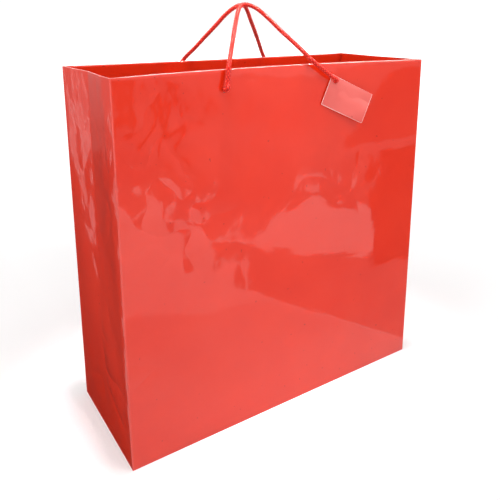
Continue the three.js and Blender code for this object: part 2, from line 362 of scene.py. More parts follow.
# Where each handle's cord runs above the rim, as its CAD tube does, in millimetres
FRONT_LOOP = [
    (-85, -70, 503), (-73, -55.5, 519), (-61, -41, 534), (-47, -24.5, 552), (-33, -8.5, 568),
    (-23, 1.5, 575.5), (-15, 5, 578.3), (-6, 4, 577.3), (2.5, -2, 572.5), (12, -15.5, 560),
    (22.5, -32, 543), (36, -51.5, 523.5), (50, -70, 503),
]
BACK_LOOP = [
    (-67, 86, 503), (-56, 72, 519), (-46, 58.5, 535), (-36, 44.5, 551), (-29, 32, 564),
    (-22, 22, 573), (-14.5, 17, 577.3), (-6.5, 17.5, 576.8), (3.5, 25, 570.5), (17, 37.5, 558.5),
    (32, 50, 544), (52, 67.5, 524), (73, 86, 503),
]
BRAID_PITCH = 20 * MM
BRAID_STEP = 1.0 * MM  # between rings of points along a cord
STRANDS_EACH_WAY = 4
STRAND_SIDES = 8
BRAID_RADIUS = 1.9 * MM  # of the middle of the strands
BRAID_WEAVE = 0.46 * MM  # how far a strand rises and dips at each crossing
STRAND_HALF_WIDTH = 1.28 * MM
STRAND_HALF_THICKNESS = 0.78 * MM
CORE_RADIUS = 1.75 * MM
STRAND_EDGE_SHADE = 0.42  # painted shade: how dark a strand is at its edges
STRAND_DIP_SHADE = 0.45  # and where it dips under another


def smooth_route(points, step):
    """A centripetal Catmull-Rom curve through the points, as points an even step apart"""
    p = np.asarray(points, float)
    p = np.vstack([2 * p[0] - p[1], p, 2 * p[-1] - p[-2]])
    dense = []

    def between(start, end, low, high):
        return (high - t) / (high - low) * start + (t - low) / (high - low) * end

    for i in range(1, len(p) - 2):
        a, b, c, d = p[i - 1:i + 3]
        t0 = 0.0
        t1 = t0 + np.linalg.norm(b - a) ** 0.5
        t2 = t1 + np.linalg.norm(c - b) ** 0.5
        t3 = t2 + np.linalg.norm(d - c) ** 0.5
        t = np.linspace(t1, t2, 24, endpoint=False)[:, None]
        ab, bc, cd = between(a, b, t0, t1), between(b, c, t1, t2), between(c, d, t2, t3)
        dense.append(between(between(ab, bc, t0, t2), between(bc, cd, t1, t3), t1, t2))
    dense = np.vstack([*dense, p[-2:-1]])
    along = np.concatenate([[0], np.cumsum(np.linalg.norm(np.diff(dense, axis=0), axis=1))])
    even = np.linspace(0, along[-1], max(2, round(along[-1] / step) + 1))
    return np.column_stack([np.interp(even, along, dense[:, k]) for k in range(3)]), even


def carried_frames(line):
    """Two directions across the line at each point, carried along it without twisting"""
    tangent = unit(np.gradient(line, axis=0))
    start = np.cross(tangent[0], (0.3, 0.2, 0.93))
    across = [start / np.linalg.norm(start)]
    for t in tangent[1:]:
        moved = across[-1] - t * np.dot(across[-1], t)
        across.append(moved / np.linalg.norm(moved))
    across = np.array(across)
    return across, np.cross(tangent, across)


def tube_faces(rings, sides, first):
    """Side faces and both end caps of a tube whose rings of points follow each other"""
    faces = band_faces(rings, sides, first=first)
    faces.append(tuple(first + k for k in reversed(range(sides))))
    last = first + (rings - 1) * sides
    faces.append(tuple(last + k for k in range(sides)))
    return faces


class Braid:
    """A braided cord along a route: strands that cross over and under, round a core"""

    def __init__(self, route):
        self.line, self.along = smooth_route(route, BRAID_STEP)
        self.across, self.side = carried_frames(self.line)
        self.strands = [self.strand(k) for k in range(2 * STRANDS_EACH_WAY)]

    def strand(self, k):
        """One strand's rings of points, and how far out it weaves at each, from -1 to 1"""
        turn = 1 if k < STRANDS_EACH_WAY else -1
        start = TAU * (k % STRANDS_EACH_WAY) / STRANDS_EACH_WAY
        if turn < 0:
            start += math.pi / STRANDS_EACH_WAY
        u = TAU * self.along / BRAID_PITCH
        angle = turn * u + start
        weave = np.cos(STRANDS_EACH_WAY * u - math.pi / 2)
        radius = BRAID_RADIUS + turn * BRAID_WEAVE * weave
        outward = np.cos(angle)[:, None] * self.across + np.sin(angle)[:, None] * self.side
        middle = self.line + outward * radius[:, None]
        flank = unit(np.cross(unit(np.gradient(middle, axis=0)), outward))
        rings = []
        for j in range(STRAND_SIDES):
            a = TAU * j / STRAND_SIDES
            rings.append(middle + flank * (STRAND_HALF_WIDTH * math.cos(a))
                         + outward * (STRAND_HALF_THICKNESS * math.sin(a)))
        return np.stack(rings, axis=1), turn * weave

    def piece(self, name, start, end):
        """The stretch from one distance along the cord to another, as one object"""
        i = int(round(start / self.along[-1] * (len(self.along) - 1)))
        j = int(round(end / self.along[-1] * (len(self.along) - 1))) + 1
        points, faces, painted_groove_shade, uv = [], [], [], []
        for rings, over in self.strands:
            cut = rings[i:j]
            faces += tube_faces(len(cut), STRAND_SIDES, len(points))
            points += [tuple(p) for ring in cut for p in ring]
            for distance, lift in zip(self.along[i:j], over[i:j]):
                for k in range(STRAND_SIDES):
                    edge = abs(math.cos(TAU * k / STRAND_SIDES))
                    # Painted shade, darker at a strand's edges and where it dips under another
                    shade = STRAND_EDGE_SHADE * edge ** 2 + STRAND_DIP_SHADE * (1 - lift)
                    painted_groove_shade.append(min(1.0, shade))
                    uv.append((distance / MM, k / STRAND_SIDES))
        faces += tube_faces(j - i, STRAND_SIDES, len(points))
        for at in range(i, j):
            for k in range(STRAND_SIDES):
                a = TAU * k / STRAND_SIDES
                direction = math.cos(a) * self.across[at] + math.sin(a) * self.side[at]
                points.append(tuple(self.line[at] + direction * CORE_RADIUS))
                # The core is painted fully dark, as painted shade under the strands
                painted_groove_shade.append(1.0)
                uv.append((self.along[at] / MM, k / STRAND_SIDES))
        cord = make_piece(name, points, faces, [CORD_YARN])
        point_attribute(cord, "painted_groove_shade", painted_groove_shade)
        layer = cord.data.uv_layers.new(name="strand")
        loops = np.zeros(len(cord.data.loops), np.int32)
        cord.data.loops.foreach_get("vertex_index", loops)
        layer.data.foreach_set("uv", np.asarray(uv, np.float32)[loops].ravel())
        sharpen(cord, 70)
        return cord


KNOT_SPREAD = 2.55 * MM
KNOT_THICKNESS = 3.1 * MM
KNOT_DEPTH = 9.5 * MM  # from the hem to the knot's middle
KNOT_CUT = 0.55  # radians of the knot's curve left open at each end
KNOT_TAIL = [(4, 3, 0.5), (12, 4.5, 1.5), (22, 4, 4)]  # down, aside and inwards, in millimetres


def knot_route(hole, inwards, turned):
    """An overhand knot drawn up behind a hole, and its tail hanging down"""
    inwards = np.array((0.0, inwards, 0.0))
    along = np.array((math.cos(turned), 0.0, math.sin(turned)))
    across = np.cross(inwards, along)
    middle = hole + inwards * KNOT_DEPTH - along * KNOT_SPREAD * 1.1
    route = [hole - inwards * 3 * MM, hole + inwards * 1.5 * MM]
    for t in np.linspace(math.pi + KNOT_CUT, 3 * math.pi - KNOT_CUT, 26):
        route.append(
            middle
            + along * KNOT_SPREAD * (math.sin(t) + 2 * math.sin(2 * t))
            + inwards * KNOT_SPREAD * (math.cos(t) - 2 * math.cos(2 * t))
            - across * KNOT_THICKNESS * math.sin(3 * t)
        )
    end = route[-1]
    down = np.array((0.0, 0.0, -1.0))
    aside = -along * math.copysign(1, math.cos(turned))
    for drop, shift, clear in KNOT_TAIL:
        route.append(end + (down * drop + aside * shift + inwards * clear) * MM)
    return route


def width_at(z):
    return WIDTH - (WIDTH - RIM_WIDTH) * z / HEIGHT


def depth_at(z):
    return DEPTH - (DEPTH - RIM_DEPTH) * z / HEIGHT


def face_y(side, x, z):
    """y of the front (side -1) or back (1) wall's outer face"""
    bow = FRONT_BOW if side < 0 else BACK_BOW
    arch = 1 - (2 * x / width_at(z)) ** 2
    return side * (depth_at(z) / 2 - bow * z / HEIGHT * arch)


CORD_STRAIGHT = 2.6 * MM  # how far before the handle's axis a cord starts to turn upwards
CORD_TURN = 0.6 * MM  # how far outside the straight line to the loop it makes that turn
CORD_START = 1.5 * MM  # how far behind the hem it starts
END_HEIGHT = 14 * MM  # above the holes, where the cord's two end pieces stop


def make_handle(name, side, loop):
    """One cord, in three stretches that meet ring to ring, and the knots at its two ends"""
    loop = [np.array(p) * MM for p in loop]
    pivot_y = JOINTS[f"{name}_handle_swing"]["pos_m"][1]
    hole_y = face_y(side, HOLE_X, HOLE_Z)
    hem_y = hole_y - side * FACE_RIM

    def end_route(x, rim):
        pivot = np.array((x, pivot_y, HOLE_Z))
        return [
            np.array((x, hem_y - side * CORD_START, HOLE_Z)),
            np.array((x, hole_y, HOLE_Z)),
            np.array((x, pivot_y - side * CORD_STRAIGHT, HOLE_Z)),
            pivot * 0.95 + rim * 0.05 + np.array((0, side * CORD_TURN, CORD_TURN)),
            pivot * 0.72 + rim * 0.28,
            pivot * 0.40 + rim * 0.60,
        ]

    left = end_route(-HOLE_X, loop[0])
    right = end_route(HOLE_X, loop[-1])
    braid = Braid([*left, *loop, *reversed(right)])
    length = braid.along[-1]
    cuts = []
    for part in (slice(0, len(braid.line) // 2), slice(len(braid.line) // 2, None)):
        above = np.abs(braid.line[part, 2] - (HOLE_Z + END_HEIGHT))
        cuts.append(braid.along[part][int(np.argmin(above))])

    rope = braid.piece(f"{name}_handle_cord", cuts[0], cuts[1])
    ends = [
        braid.piece(f"{name}_cord_left_end", 0, cuts[0]),
        braid.piece(f"{name}_cord_right_end", cuts[1], length),
    ]
    # Each knot is turned by some radians about its hole's axis
    for end, x, turned in (("left", -HOLE_X, 0.6 * side), ("right", HOLE_X, 2.4)):
        hole = np.array((x, hem_y, HOLE_Z))
        tied = Braid(knot_route(hole, -side, turned))
        knot = tied.piece(f"{name}_{end}_cord_knot", 0, tied.along[-1])
        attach(knot, "bag")
        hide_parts(f"{name}_{end}_knot")

    for piece, x in zip(ends, (-HOLE_X, HOLE_X)):
        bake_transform(piece)
    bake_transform(rope)
    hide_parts(f"{name}_handle_loop", f"{name}_handle_left_leg",
                f"{name}_handle_right_leg")


make_handle("front", -1, FRONT_LOOP)
make_handle("back", 1, BACK_LOOP)


# ---- The walls

random = np.random.default_rng(7)


def ripples(count, low, high, flatten):
    """Long soft waves of paper under slight tension: wave numbers and phases"""
    waves = []
    for _ in range(count):
        length = random.uniform(low, high)
        angle = random.normal(0, flatten)
        waves.append((TAU / length * math.cos(angle), TAU / length * math.sin(angle),
                      random.uniform(0, TAU), length / high))
    return waves


WALL_WAVES = {wall: ripples(7, 0.14, 0.42, 0.55) for wall in range(4)}
FRONT, RIGHT, BACK, LEFT = range(4)
HALF = {FRONT: WIDTH / 2, BACK: WIDTH / 2, RIGHT: DEPTH / 2, LEFT: DEPTH / 2}


def crease(a, z, start, end, width, height):
    """A straight crease from start to end that fades towards both"""
    start, end = np.array(start) * MM, np.array(end) * MM
    run = end - start
    t = ((a - start[0]) * run[0] + (z - start[1]) * run[1]) / (run @ run)
    nearest = np.clip(t, 0, 1)
    gap = np.hypot(a - start[0] - nearest * run[0], z - start[1] - nearest * run[1])
    fade = np.clip(4 * t * (1 - t), 0, 1) ** 0.5
    return height * MM * np.exp(-gap / (width * MM)) * fade


def dent(a, z, at, size, depth):
    """A round hollow that fades outwards"""
    gap = np.hypot(a - at[0] * MM, z - at[1] * MM)
    return depth * MM * np.exp(-(gap / (size * MM)) ** 2)


# Creases as (start, end, width, height) and dents as (place, size, depth), in millimetres:
# across the wall from its middle, and up. A positive height stands inwards.
CREASES = {
    FRONT: [((-247, 132), (-214, 158), 2.2, 0.35), ((206, 322), (236, 350), 3, -0.2),
            ((-30, 30), (10, 44), 3, 0.2)],
    RIGHT: [((-92, 38), (0, 88), 3.5, 0.9), ((92, 38), (0, 88), 3.5, 0.9)],
    BACK: [((120, 210), (168, 236), 3, 0.3), ((-205, 90), (-160, 74), 3, -0.25)],
    LEFT: [((-92, 44), (0, 84), 3.5, 1.0), ((92, 36), (0, 84), 3.5, 0.9),
           ((-20, 420), (6, 470), 2.5, -0.3)],
}
DENTS = {
    FRONT: [((-150, 260), 9, 0.25), ((60, 180), 7, -0.2), ((180, 90), 8, 0.2),
            ((-205, 60), 6, -0.2)],
    RIGHT: [((40, 260), 9, 0.25)],
    BACK: [((-90, 300), 9, 0.3), ((140, 120), 8, -0.2)],
    LEFT: [((20, 250), 8, 0.3)],
}

# Crinkled places as (across, up, half width, half height, strength), in metres
CRUMPLES = {
    FRONT: [(-0.20, 0.33, 0.06, 0.07, 1.0), (-0.12, 0.30, 0.05, 0.06, 0.4),
            (0.12, 0.33, 0.07, 0.04, 0.3), (-0.18, 0.44, 0.04, 0.05, 0.4),
            (-0.22, 0.12, 0.03, 0.04, 0.5)],
    RIGHT: [(0.0, 0.30, 0.06, 0.10, 0.5)],
    BACK: [(0.15, 0.30, 0.08, 0.08, 0.8), (-0.18, 0.22, 0.05, 0.08, 0.5)],
    LEFT: [(0.03, 0.10, 0.05, 0.06, 0.7), (0.05, 0.34, 0.04, 0.12, 0.5)],
}
CRUMPLED_EVERYWHERE = 0.10

WAVE_HEIGHT = 0.5 * MM
FOLD_HOLD = 45 * MM  # how far from a vertical fold the paper is still held flat by it
BASE_HOLD = 50 * MM  # and from the base
RIM_HOLD = 0.85  # the share of the waves that the boarded rim takes away
CURL_WIDTH = 28 * MM  # at the rim, of the strip of left gusset that curls out at the front fold
CURL_SLOPE = 0.055


def wave(wall, a, z):
    """How far the paper stands inwards of its plain shape, across the wall (a) and up (z)"""
    a, z = np.broadcast_arrays(np.asarray(a, float), np.asarray(z, float))
    total = np.zeros(a.shape)
    for ka, kz, phase, weight in WALL_WAVES[wall]:
        total += WAVE_HEIGHT * weight * np.sin(ka * a + kz * z + phase)
    for values in CREASES[wall]:
        total += crease(a, z, *values)
    for values in DENTS[wall]:
        total += dent(a, z, *values)
    half = HALF[wall]
    from_fold = smoothstep(0, FOLD_HOLD, half - np.abs(a))
    from_base = smoothstep(0, BASE_HOLD, z)
    under_rim = 1 - RIM_HOLD * smoothstep(HEM_LOW - 0.05, HEM_LOW + 0.01, z)
    curl = 0
    if wall == LEFT:
        from_front = half - a
        wide = CURL_WIDTH * z / HEIGHT + 1 * MM
        falling = np.clip((4 * wide - from_front) / (3 * wide), 0, 1)
        curl = CURL_SLOPE * np.where(from_front < wide, from_front, wide * falling)
    return total * from_fold * from_base * under_rim - curl


def crumpled(wall, a, z):
    """How strongly the film is crinkled: most in a few handled places, a little everywhere"""
    total = CRUMPLED_EVERYWHERE + 0 * a * z
    for at_a, at_z, wide, high, strength in CRUMPLES[wall]:
        total = total + strength * np.exp(-((a - at_a) / wide) ** 2 - ((z - at_z) / high) ** 2)
    return total


def plain(wall, a, z):
    """x and y of the wall's outer face, before its waves, where a is measured at the base"""
    if wall in (FRONT, BACK):
        side = -1 if wall == FRONT else 1
        x = -side * a * width_at(z) / WIDTH
        return x, face_y(side, x, z)
    side = 1 if wall == RIGHT else -1
    y = side * a * depth_at(z) / DEPTH
    crease = np.hypot(2 * y / depth_at(z), SOFT_CREASE / DEPTH)
    fold = GUSSET_FOLD * z / HEIGHT * np.maximum(1 - crease, 0)
    return side * (width_at(z) / 2 - fold), y


def wall_stations(half, spacing, creased):
    """Places across a wall, closer together near its folds and at a gusset's centre crease"""
    inner = half - CORNER
    plainly = np.linspace(-inner, inner, int(2 * inner / spacing) + 1)
    extra = [-inner + 1.2 * MM, inner - 1.2 * MM]
    if creased:
        extra += [-2 * MM, -0.7 * MM, 0, 0.7 * MM, 2 * MM]
    return np.unique(np.round(np.concatenate([plainly, extra]), 7))


CORNER_STATIONS = np.linspace(0, 1, 9)[1:-1]  # shares of the way round a vertical fold
BOARD_END = 8 * MM  # how far from a vertical fold a rim board stops
BOARD_FADE = 10 * MM  # and how far on the rim reaches its full thickness
WEAR_WIDTH = 0.6 * MM


class Ring:
    """The bag's outline at many heights: front, right, back and left walls joined by folds"""

    def __init__(self, spacing):
        self.wall, self.place = [], []
        for wall in (FRONT, RIGHT, BACK, LEFT):
            stations = wall_stations(HALF[wall], spacing, wall in (RIGHT, LEFT))
            self.wall += [wall] * len(stations) + [-1 - wall] * len(CORNER_STATIONS)
            self.place += [*stations, *CORNER_STATIONS]
        self.wall, self.place = np.array(self.wall), np.array(self.place)
        self.count = len(self.wall)

    def corner(self, wall, t, z):
        """x and y at the share t of the way round the fold after a wall"""
        following = (wall + 1) % 4
        ax, ay = plain(wall, HALF[wall] - CORNER, z)
        cx, cy = plain(wall, HALF[wall], z)
        bx, by = plain(following, CORNER - HALF[following], z)
        x = (1 - t) ** 2 * ax + 2 * t * (1 - t) * cx + t * t * bx
        y = (1 - t) ** 2 * ay + 2 * t * (1 - t) * cy + t * t * by
        return x, y

    def outline(self, z):
        """Points and inward directions of the outer face at the heights z, one row for each"""
        z = np.asarray(z, float).reshape(-1, 1) * np.ones(self.count)
        x, y, shift = np.zeros_like(z), np.zeros_like(z), np.zeros_like(z)
        for wall in range(4):
            mask = self.wall == wall
            x[:, mask], y[:, mask] = plain(wall, self.place[mask], z[:, mask])
            shift[:, mask] = wave(wall, self.place[mask], z[:, mask])
            mask = self.wall == -1 - wall
            x[:, mask], y[:, mask] = self.corner(wall, self.place[mask], z[:, mask])
        dx = np.roll(x, -1, 1) - np.roll(x, 1, 1)
        dy = np.roll(y, -1, 1) - np.roll(y, 1, 1)
        size = np.hypot(dx, dy)
        inx, iny = -dy / size, dx / size
        return x + inx * shift, y + iny * shift, inx, iny

    def rim_thickness(self):
        """At each place, thicker where the rim holds a board"""
        across = np.where(self.wall == BACK, -self.place, self.place)
        board = smoothstep(0, BOARD_FADE, WIDTH / 2 - BOARD_END - np.abs(across))
        board = np.where(np.isin(self.wall, (FRONT, BACK)), board, 0)
        return SIDE_RIM + (FACE_RIM - SIDE_RIM) * board

    def fold_wear(self):
        """1 on a vertical fold, falling to 0 beside it"""
        half = np.array([HALF[w] if w >= 0 else 0 for w in self.wall])
        gap = np.where(self.wall >= 0, half - CORNER - np.abs(self.place), 0)
        return np.exp(-gap / WEAR_WIDTH)


WALL_SPACING = 4 * MM  # between the mesh's points
FOLD_WEAR = 0.05  # how pale the film is on a vertical fold
BASE_WEAR = 0.1  # and round the base
BASE_FOLD = 0.9 * MM  # radius of the fold round the base
RIM_ROLL = 4 * MM  # below the rim, where the rows round its edge start
HEM_GAP = 0.5 * MM  # how far the hem's lower edge stands off the wall
HEM_WAVES = 9


def make_walls():
    """All four walls, the rolled rim and the hem turned down inside it: one closed thin sheet"""
    ring = Ring(WALL_SPACING)
    rim = ring.rim_thickness()
    rows = []  # (height of each point, depth of each point, how pale: worn folds and a painted highlight on the rim's crown, material of the faces after it)
    film, bare, cut = 0, 1, 2
    one = np.ones(ring.count)

    for angle in np.linspace(0, math.pi / 2, 5)[:-1]:
        height = BASE_FOLD * (1 - math.cos(angle))
        rows.append((height * one, BASE_FOLD * (1 - math.sin(angle)) * one, BASE_WEAR, film))
    heights = np.linspace(BASE_FOLD, HEIGHT - RIM_ROLL, int(HEIGHT / WALL_SPACING))
    for height in heights:
        rows.append((height * one, 0 * one, 0, film))
    # The rolled rim: paler towards its crown, partly worn paper and partly a painted highlight
    for angle in np.linspace(0, math.pi, 11):
        height = HEIGHT - rim / 2 + rim / 2 * math.sin(angle)
        rows.append((height, rim / 2 * (1 - math.cos(angle)), math.sin(angle) ** 2, film))
    hem_heights = np.linspace(HEIGHT - RIM_ROLL, HEM_LOW, 13)
    loose = HEM_GAP * smoothstep(HEM_LOW + 0.02, HEM_LOW, hem_heights)
    lift = 0.6 + 0.4 * np.sin(HEM_WAVES * TAU * np.arange(ring.count) / ring.count)
    for height, gap in zip(hem_heights, loose):
        rows.append((height * one, rim + gap * lift, 0, film))
    rows[-1] = (*rows[-1][:2], 0.6, cut)
    for height, gap in zip(hem_heights[::-1], loose[::-1]):
        rows.append((height * one, rim + gap * lift - PAPER, 0, bare))
    inner = rim / 2 - PAPER
    for angle in np.linspace(math.pi, 0, 5):
        rows.append((HEIGHT - rim / 2 + inner * math.sin(angle),
                     rim / 2 - inner * math.cos(angle), 0, bare))
    for height in heights[::-1]:
        rows.append((height * one, PAPER * one, 0, bare))
    inside = BASE_FOLD - PAPER
    for angle in np.linspace(math.pi / 2, 0, 4)[1:]:
        rows.append(((BASE_FOLD - inside * math.cos(angle)) * one,
                     (BASE_FOLD - inside * math.sin(angle)) * one, 0, bare))

    count = len(rows)
    points = np.zeros((count, ring.count, 3))
    wear_and_rim_sheen = np.zeros((count, ring.count))
    fold = ring.fold_wear()
    for i, (height, depth, worn, _) in enumerate(rows):
        if np.ptp(height) < 1e-9:
            x, y, inx, iny = (v[0] for v in ring.outline(height[:1]))
        else:
            x, y, inx, iny = (np.diagonal(v) for v in ring.outline(height))
        points[i] = np.column_stack([x + inx * depth, y + iny * depth, height])
        wear_and_rim_sheen[i] = np.maximum(worn, FOLD_WEAR * fold)
    look = np.repeat([row[3] for row in rows], ring.count)
    faces = band_faces(count, ring.count, closed=True)
    walls = make_piece("bag_walls", points.reshape(-1, 3), faces, SHEET_LOOK, look)
    point_attribute(walls, "fold", wear_and_rim_sheen.ravel())
    crumple = np.zeros((count, ring.count))
    for wall in range(4):
        crumple += crumpled(wall, ring.place, points[:, :, 2]) * (ring.wall == wall)
    point_attribute(walls, "crumple", crumple.ravel())
    return walls


DRILL_SIDES = 32
DRILL_REACH = 8 * MM  # to each side of the wall


def cut_holes(piece, side):
    """Punches the two cord holes through every layer of one side's rim"""
    for x in (-HOLE_X, HOLE_X):
        middle = face_y(side, x, HOLE_Z)
        angles = np.linspace(0, TAU, DRILL_SIDES + 1)[:-1]
        points = []
        for y in (middle - DRILL_REACH, middle + DRILL_REACH):
            points += [(x + HOLE / 2 * math.cos(a), y, HOLE_Z + HOLE / 2 * math.sin(a))
                       for a in angles]
        drill = make_piece("drill", points, tube_faces(2, DRILL_SIDES, 0), [])
        drill.data.flip_normals()
        hole = piece.modifiers.new("hole", "BOOLEAN")
        hole.operation = "DIFFERENCE"
        hole.solver = "MANIFOLD"
        hole.object = drill
        bpy.context.view_layer.update()
        evaluated = piece.evaluated_get(bpy.context.evaluated_depsgraph_get())
        cut = bpy.data.meshes.new_from_object(evaluated)
        piece.modifiers.clear()
        old = piece.data
        piece.data = cut
        bpy.data.meshes.remove(old)
        bpy.data.objects.remove(drill)


walls = make_walls()
cut_holes(walls, -1)
cut_holes(walls, 1)
sharpen(walls, 50)
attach(walls, "bag")
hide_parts("front_panel", "back_panel", "left_gusset", "right_gusset",
            "front_hem", "back_hem", "left_hem", "right_hem")


# ---- Layers inside the walls


def make_layer(name, wall, low_a, high_a, low_z, high_z, depth, thickness, materials, slot, node):
    """A closed sheet that follows the front or back wall, depth inwards of its outer face"""
    across = np.linspace(low_a, high_a, max(3, int((high_a - low_a) / (4 * MM))))
    up = np.linspace(low_z, high_z, max(3, int((high_z - low_z) / (6 * MM))))
    a, z = np.meshgrid(across, up)
    x, y = plain(wall, a, z)
    inwards = 1 if wall == FRONT else -1
    shift = wave(wall, a, z)
    rows, columns = a.shape
    sheets = [np.dstack([x, y + inwards * (shift + d), z]).reshape(-1, 3)
              for d in (depth, depth + thickness)]
    faces, look = [], []
    size = rows * columns
    for r in range(rows - 1):
        for c in range(columns - 1):
            i = r * columns + c
            near = (i, i + 1, i + columns + 1, i + columns)
            faces += [near, tuple(size + k for k in reversed(near))]
            look += [0, 1]
    rim = [*range(columns),
           *(r * columns + columns - 1 for r in range(1, rows)),
           *((rows - 1) * columns + c for c in range(columns - 2, -1, -1)),
           *(r * columns for r in range(rows - 2, 0, -1))]
    for i, j in zip(rim, rim[1:] + rim[:1]):
        faces.append((j, i, size + i, size + j))
        look.append(2)
    layer = make_piece(name, np.vstack(sheets), faces, materials, look)
    point_attribute(layer, "fold", np.zeros(2 * size))
    sharpen(layer, 50)
    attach(layer, "bag")
    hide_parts(node)
    return layer


BOARD_DEPTH = 0.7 * MM  # from the wall's outer face to the rim board
BOARD_THICKNESS = 1.0 * MM
LAP_DEPTH = BOARD_DEPTH - 0.15 * MM  # to the glued lap
for side_name, wall, side in (("front", FRONT, -1), ("back", BACK, 1)):
    low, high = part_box(f"{side_name}_rim_board")
    reach = high.x * WIDTH / width_at(low.z)
    strip = make_layer(f"{side_name}_board_strip", wall, -reach, reach, low.z, high.z,
                       BOARD_DEPTH, BOARD_THICKNESS, [GREY_BOARD] * 3, "grey_board",
                       f"{side_name}_rim_board")
    cut_holes(strip, side)
    low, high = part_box(f"{side_name}_seam_lap")
    reach = (low.x, high.x) if wall == FRONT else (-high.x, -low.x)
    make_layer(f"{side_name}_glued_lap", wall, *reach, low.z, HEM_LOW + 3 * MM,
               LAP_DEPTH, PAPER, SHEET_LOOK, "white_paper", f"{side_name}_seam_lap")


# ---- Block bottom


def step_towards(start, end, distance):
    return start + (end - start) / np.linalg.norm(end - start) * distance


def polygon(corners, radius, spacing):
    """Points round a polygon with rounded corners, evenly spaced along its sides"""
    outline = []
    count = len(corners)
    for i in range(count):
        before, at, after = (np.array(corners[(i + k) % count], float) for k in (-1, 0, 1))
        start, end = step_towards(at, before, radius), step_towards(at, after, radius)
        for t in np.linspace(0, 1, 6):
            outline.append((1 - t) ** 2 * start + 2 * t * (1 - t) * at + t * t * end)
        stop = step_towards(after, at, radius)
        pieces = max(1, int(np.linalg.norm(stop - end) / spacing))
        for k in range(1, pieces):
            outline.append(end + (stop - end) * k / pieces)
    return outline


PLATE_STEPS = 10  # from a plate's middle to its edge
PLATE_SPACING = 12 * MM
FLAP_MITRE = 12 * MM  # cut off the inner corners of a side flap, along the bag's depth


def plan(node):
    """The four corners of a node's box, seen from above"""
    low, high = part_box(node)
    return [(low.x, low.y), (high.x, low.y), (high.x, high.y), (low.x, high.y)]


def make_plate(name, node, corners, radius, inset, bevel, materials, body):
    """A flat plate with rounded corners, and edges cut back by inset over the height bevel"""
    outline = np.array(polygon(corners, radius, PLATE_SPACING))
    middle = outline.mean(0)
    cut_back = outline - unit(outline - middle) * inset
    bottom, top = (corner.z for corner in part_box(node))
    points = []
    for k in range(1, PLATE_STEPS):
        points += [(*p, bottom) for p in middle + (cut_back - middle) * k / PLATE_STEPS]
    for ring, z in ((cut_back, bottom), (outline, bottom + bevel), (outline, top - bevel),
                    (cut_back, top)):
        points += [(*p, z) for p in ring]
    for k in range(PLATE_STEPS - 1, 0, -1):
        points += [(*p, top) for p in middle + (cut_back - middle) * k / PLATE_STEPS]
    count = len(outline)
    layers = len(points) // count
    faces = [(a, d, c, b) for a, b, c, d in band_faces(layers, count)]
    faces.append(tuple(range(count)))
    faces.append(tuple((layers - 1) * count + k for k in reversed(range(count))))
    flat = (PLATE_STEPS - 1) * count
    look = [0] * flat + [2] * (len(faces) - 2 - 2 * flat) + [1] * flat + [0, 1]
    plate = make_piece(name, points, faces, materials, look)
    point_attribute(plate, "fold", np.zeros(len(points)))
    sharpen(plate, 50)
    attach(plate, body)
    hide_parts(node)


def make_bottom():
    """The four glued flaps of the block bottom, and the loose board that covers them"""
    for name in ("front", "back", "left", "right"):
        node = f"bottom_{name}_flap"
        corners = plan(node)
        if name in ("left", "right"):
            corners = [(x, y - math.copysign(FLAP_MITRE, y)) if abs(x) < WIDTH / 4 else (x, y)
                       for x, y in corners]
        make_plate(f"{name}_bottom_fold", node, corners, 1.5 * MM, 0.05 * MM, 0.1 * MM,
                   SHEET_LOOK, "bag")
    make_plate("loose_base_board", "base_board", plan("base_board"), 4 * MM, 0.3 * MM, 0.3 * MM,
               [GREY_BOARD] * 3, "base_board")


make_bottom()


# ---- Tag

TAG_WIDTH = 76 * MM
TAG_HEIGHT = 45 * MM
TAG_THICKNESS = 0.6 * MM
TAG_HOLE = Vector((9 * MM, -6.5 * MM))  # from the top left corner
TAG_SLOPE = math.radians(-25)
TAG_CURL = 2.2 * MM  # how far it stands out at the end away from the hole
TAG_PUNCH = 7.4 * MM  # diameter of its hole
TAG_BORDER = 0.9 * MM  # width of the pale strip along its edge
TAG_EDGE = 0.12 * MM  # rounding of its edge
TAG_STEPS = 22  # rows of points from the hole to the edge


def make_tag():
    """A small curled card, film outside and paper behind, that hangs from its hole"""
    joint = JOINTS["tag_swing"]
    normal = -Vector(joint["axis"]).normalized()
    right = Vector((0, 0, 1)).cross(normal).normalized()
    up = normal.cross(right)
    along = right * math.cos(TAG_SLOPE) + up * math.sin(TAG_SLOPE)
    above = up * math.cos(TAG_SLOPE) - right * math.sin(TAG_SLOPE)
    origin = Vector(joint["pos_m"])
    left, top = -TAG_HOLE.x, -TAG_HOLE.y
    corners = [(left, top - TAG_HEIGHT), (left + TAG_WIDTH, top - TAG_HEIGHT),
               (left + TAG_WIDTH, top), (left, top)]
    outline = np.array(polygon(corners, 1.5 * MM, 2 * MM))
    count = len(outline)
    outwards = unit(outline)
    hole = outwards * TAG_PUNCH / 2
    steps, edge, face = TAG_STEPS, TAG_EDGE, TAG_THICKNESS / 2
    rows = [(hole * (1 + edge / TAG_PUNCH), face)]
    for share in (np.arange(1, steps) / steps) ** 1.35:
        rows.append((hole * (1 - share) + outline * share, face))
    rows.append((outline - outwards * TAG_BORDER, face))
    rows.append((outline - outwards * edge, face))
    rows.append((outline, face - edge))
    rows.append((outline, edge - face))
    rows += [(ring, -face) for ring, _ in reversed(rows[:steps + 2])]
    points, worn = [], []
    for row, (ring, level) in enumerate(rows):
        worn += [float(steps < row < steps + 4)] * count
        for x, y in ring:
            bend = TAG_CURL * ((x / TAG_WIDTH) ** 2 - 0.55 * (y / TAG_HEIGHT) ** 2)
            points.append(origin + along * x + above * y + normal * (level + bend))
    faces = [face[::-1] for face in band_faces(len(rows), count, closed=True)]
    look = np.repeat([0] * (steps + 1) + [2] * 3 + [1] * (len(rows) - steps - 5) + [2], count)
    tag = make_piece("tag_card", points, faces, [TAG_FILM, WHITE_PAPER, CUT_EDGE], look)
    point_attribute(tag, "fold", worn)
    point_attribute(tag, "crumple", 0.5 * np.ones(len(points)))
    sharpen(tag, 40)
    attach(tag, "tag")
    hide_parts("gift_tag")


make_tag()


# ---- Stage and light

